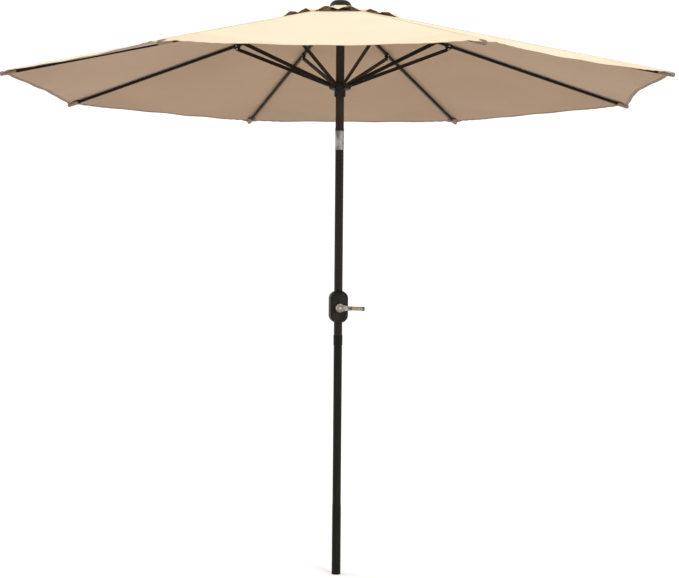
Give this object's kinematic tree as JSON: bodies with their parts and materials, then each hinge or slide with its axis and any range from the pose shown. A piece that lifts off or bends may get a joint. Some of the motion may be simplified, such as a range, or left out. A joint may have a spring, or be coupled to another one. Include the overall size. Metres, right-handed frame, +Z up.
{
  "type": "market umbrella",
  "caption": "Octagonal vented market umbrella on a two-piece pole with a crank, a push-button tilt joint and a folding rib frame.",
  "frame": {"origin": "bottom centre of the foot of the pole, where a stand holds it", "axes": "+Z up the pole; -Y is the front, where the crank faces; the flats of the octagonal canopy face +-X and +-Y"},
  "size_m": [2.5962, 2.5962, 2.44],
  "materials": {
    "pole_paint": "dark bronze powder coat",
    "frame_paint": "dark brown powder coat",
    "dark_plastic": "moulded near-black nylon",
    "spool_plastic": "natural acetal",
    "bright_steel": "zinc-plated steel",
    "crank_casting": "cast, silver-taupe paint",
    "grip_plastic": "taupe nylon",
    "tilt_casting": "bright wrapped metal",
    "canopy_cloth": "woven polyester, cream"
  },
  "bodies": {
    "lower_mast": {"foot_sleeve": "pole_paint", "lower_pole": "pole_paint", "pole_coupler": "pole_paint", "middle_pole": "pole_paint", "housing_front": "dark_plastic", "housing_back": "dark_plastic", "housing_screws": "bright_steel", "axle_bushes": "dark_plastic", "tilt_lower_knuckle": "tilt_casting", "tilt_pin": "bright_steel", "tilt_spring": "bright_steel"},
    "upper_mast": {"tilt_upper_knuckle": "tilt_casting", "tilt_upper_ring": "dark_plastic", "upper_pole": "pole_paint", "crown": "dark_plastic", "crown_pins": "bright_steel", "finial": "dark_plastic", "canopy_centre": "canopy_cloth"},
    "crank": {"cord_spool": "spool_plastic", "brake_spring": "bright_steel", "crank_arm": "crank_casting", "crank_fasteners": "bright_steel"},
    "grip_fold": {"grip_spindle": "grip_plastic"},
    "grip_roll": {"grip_sleeve": "grip_plastic"},
    "button": {"tilt_button": "dark_plastic"},
    "slider": {"runner": "dark_plastic", "runner_ring": "bright_steel"},
    "pulley": {"crown_pulley": "dark_plastic"},
    "rib_set_1": {"rib_1": "frame_paint", "rib_fittings_1": "bright_steel", "canopy_gore_1": "canopy_cloth"},
    "strut_set_1": {"strut_1": "frame_paint"},
    "rib_set_2": {"rib_2": "frame_paint", "rib_fittings_2": "bright_steel", "canopy_gore_2": "canopy_cloth"},
    "strut_set_2": {"strut_2": "frame_paint"},
    "rib_set_3": {"rib_3": "frame_paint", "rib_fittings_3": "bright_steel", "canopy_gore_3": "canopy_cloth"},
    "strut_set_3": {"strut_3": "frame_paint"},
    "rib_set_4": {"rib_4": "frame_paint", "rib_fittings_4": "bright_steel", "canopy_gore_4": "canopy_cloth"},
    "strut_set_4": {"strut_4": "frame_paint"},
    "rib_set_5": {"rib_5": "frame_paint", "rib_fittings_5": "bright_steel", "canopy_gore_5": "canopy_cloth"},
    "strut_set_5": {"strut_5": "frame_paint"},
    "rib_set_6": {"rib_6": "frame_paint", "rib_fittings_6": "bright_steel", "canopy_gore_6": "canopy_cloth"},
    "strut_set_6": {"strut_6": "frame_paint"},
    "rib_set_7": {"rib_7": "frame_paint", "rib_fittings_7": "bright_steel", "canopy_gore_7": "canopy_cloth"},
    "strut_set_7": {"strut_7": "frame_paint"},
    "rib_set_8": {"rib_8": "frame_paint", "rib_fittings_8": "bright_steel", "canopy_gore_8": "canopy_cloth"},
    "strut_set_8": {"strut_8": "frame_paint"}
  },
  "joints": [
    {"name": "tilt", "type": "hinge", "parent": "lower_mast", "child": "upper_mast", "pos_m": [0, 0, 1.8475], "axis": [1, 0, 0], "range_deg": [0, 30]},
    {"name": "tilt_button", "type": "slide", "parent": "lower_mast", "child": "button", "axis": [0, -1, 0], "range_m": [0, 0.003], "stiffness_N_per_m": 900, "springref_m": -0.001, "deforming": ["tilt_spring"]},
    {"name": "rib_hinge_1", "type": "hinge", "parent": "upper_mast", "child": "rib_set_1", "pos_m": [0.03049, 0.01263, 2.397], "axis": [-0.3827, 0.9239, 0], "range_deg": [0, 69], "deforming": ["canopy_gore_1"]},
    {"name": "strut_hinge_1", "type": "hinge", "parent": "rib_set_1", "child": "strut_set_1", "pos_m": [0.4618, 0.19128, 2.26463], "axis": [-0.3827, 0.9239, 0], "range_deg": [-133, 0]},
    {"name": "rib_hinge_2", "type": "hinge", "parent": "upper_mast", "child": "rib_set_2", "pos_m": [0.01263, 0.03049, 2.397], "axis": [-0.9239, 0.3827, 0], "range_deg": [0, 69], "deforming": ["canopy_gore_2"]},
    {"name": "strut_hinge_2", "type": "hinge", "parent": "rib_set_2", "child": "strut_set_2", "pos_m": [0.19128, 0.4618, 2.26463], "axis": [-0.9239, 0.3827, 0], "range_deg": [-133, 0]},
    {"name": "rib_hinge_3", "type": "hinge", "parent": "upper_mast", "child": "rib_set_3", "pos_m": [-0.01263, 0.03049, 2.397], "axis": [-0.9239, -0.3827, 0], "range_deg": [0, 69], "deforming": ["canopy_gore_3"]},
    {"name": "strut_hinge_3", "type": "hinge", "parent": "rib_set_3", "child": "strut_set_3", "pos_m": [-0.19128, 0.4618, 2.26463], "axis": [-0.9239, -0.3827, 0], "range_deg": [-133, 0]},
    {"name": "rib_hinge_4", "type": "hinge", "parent": "upper_mast", "child": "rib_set_4", "pos_m": [-0.03049, 0.01263, 2.397], "axis": [-0.3827, -0.9239, 0], "range_deg": [0, 69], "deforming": ["canopy_gore_4"]},
    {"name": "strut_hinge_4", "type": "hinge", "parent": "rib_set_4", "child": "strut_set_4", "pos_m": [-0.4618, 0.19128, 2.26463], "axis": [-0.3827, -0.9239, 0], "range_deg": [-133, 0]},
    {"name": "rib_hinge_5", "type": "hinge", "parent": "upper_mast", "child": "rib_set_5", "pos_m": [-0.03049, -0.01263, 2.397], "axis": [0.3827, -0.9239, 0], "range_deg": [0, 69], "deforming": ["canopy_gore_5"]},
    {"name": "strut_hinge_5", "type": "hinge", "parent": "rib_set_5", "child": "strut_set_5", "pos_m": [-0.4618, -0.19128, 2.26463], "axis": [0.3827, -0.9239, 0], "range_deg": [-133, 0]},
    {"name": "rib_hinge_6", "type": "hinge", "parent": "upper_mast", "child": "rib_set_6", "pos_m": [-0.01263, -0.03049, 2.397], "axis": [0.9239, -0.3827, 0], "range_deg": [0, 69], "deforming": ["canopy_gore_6"]},
    {"name": "strut_hinge_6", "type": "hinge", "parent": "rib_set_6", "child": "strut_set_6", "pos_m": [-0.19128, -0.4618, 2.26463], "axis": [0.9239, -0.3827, 0], "range_deg": [-133, 0]},
    {"name": "rib_hinge_7", "type": "hinge", "parent": "upper_mast", "child": "rib_set_7", "pos_m": [0.01263, -0.03049, 2.397], "axis": [0.9239, 0.3827, 0], "range_deg": [0, 69], "deforming": ["canopy_gore_7"]},
    {"name": "strut_hinge_7", "type": "hinge", "parent": "rib_set_7", "child": "strut_set_7", "pos_m": [0.19128, -0.4618, 2.26463], "axis": [0.9239, 0.3827, 0], "range_deg": [-133, 0]},
    {"name": "rib_hinge_8", "type": "hinge", "parent": "upper_mast", "child": "rib_set_8", "pos_m": [0.03049, -0.01263, 2.397], "axis": [0.3827, 0.9239, 0], "range_deg": [0, 69], "deforming": ["canopy_gore_8"]},
    {"name": "strut_hinge_8", "type": "hinge", "parent": "rib_set_8", "child": "strut_set_8", "pos_m": [0.4618, -0.19128, 2.26463], "axis": [0.3827, 0.9239, 0], "range_deg": [-133, 0]},
    {"name": "runner_slide", "type": "slide", "parent": "upper_mast", "child": "slider", "axis": [0, 0, -1], "range_m": [0, 0.6663]},
    {"name": "crank_spin", "type": "hinge", "parent": "lower_mast", "child": "crank", "pos_m": [0, 0, 1.1386], "axis": [0.2079, -0.9781, 0], "range_deg": [0, 3601]},
    {"name": "grip_fold", "type": "hinge", "parent": "crank", "child": "grip_fold", "pos_m": [0.04954, -0.03599, 1.13717], "axis": [-0.0341, -0.0073, -0.9994], "range_deg": [0, 90]},
    {"name": "grip_roll", "type": "hinge", "parent": "grip_fold", "child": "grip_roll", "pos_m": [0.07789, -0.02996, 1.13616], "axis": [0.9776, 0.2078, -0.0349], "continuous": true},
    {"name": "pulley_spin", "type": "hinge", "parent": "upper_mast", "child": "pulley", "pos_m": [0, -0.009, 2.35], "axis": [1, 0, 0], "range_deg": [0, 4017]}
  ],
  "couplings": [
    {"joint": "strut_hinge_1", "follows": "rib_hinge_1", "ratio": -1.9177},
    {"joint": "rib_hinge_2", "follows": "rib_hinge_1", "ratio": 1},
    {"joint": "strut_hinge_2", "follows": "rib_hinge_1", "ratio": -1.9177},
    {"joint": "rib_hinge_3", "follows": "rib_hinge_1", "ratio": 1},
    {"joint": "strut_hinge_3", "follows": "rib_hinge_1", "ratio": -1.9177},
    {"joint": "rib_hinge_4", "follows": "rib_hinge_1", "ratio": 1},
    {"joint": "strut_hinge_4", "follows": "rib_hinge_1", "ratio": -1.9177},
    {"joint": "rib_hinge_5", "follows": "rib_hinge_1", "ratio": 1},
    {"joint": "strut_hinge_5", "follows": "rib_hinge_1", "ratio": -1.9177},
    {"joint": "rib_hinge_6", "follows": "rib_hinge_1", "ratio": 1},
    {"joint": "strut_hinge_6", "follows": "rib_hinge_1", "ratio": -1.9177},
    {"joint": "rib_hinge_7", "follows": "rib_hinge_1", "ratio": 1},
    {"joint": "strut_hinge_7", "follows": "rib_hinge_1", "ratio": -1.9177},
    {"joint": "rib_hinge_8", "follows": "rib_hinge_1", "ratio": 1},
    {"joint": "strut_hinge_8", "follows": "rib_hinge_1", "ratio": -1.9177},
    {"joint": "runner_slide", "follows": "rib_hinge_1", "m_per_rad": 0.55283},
    {"joint": "crank_spin", "follows": "rib_hinge_1", "ratio": 52.174},
    {"joint": "pulley_spin", "follows": "rib_hinge_1", "ratio": 58.193}
  ]
}
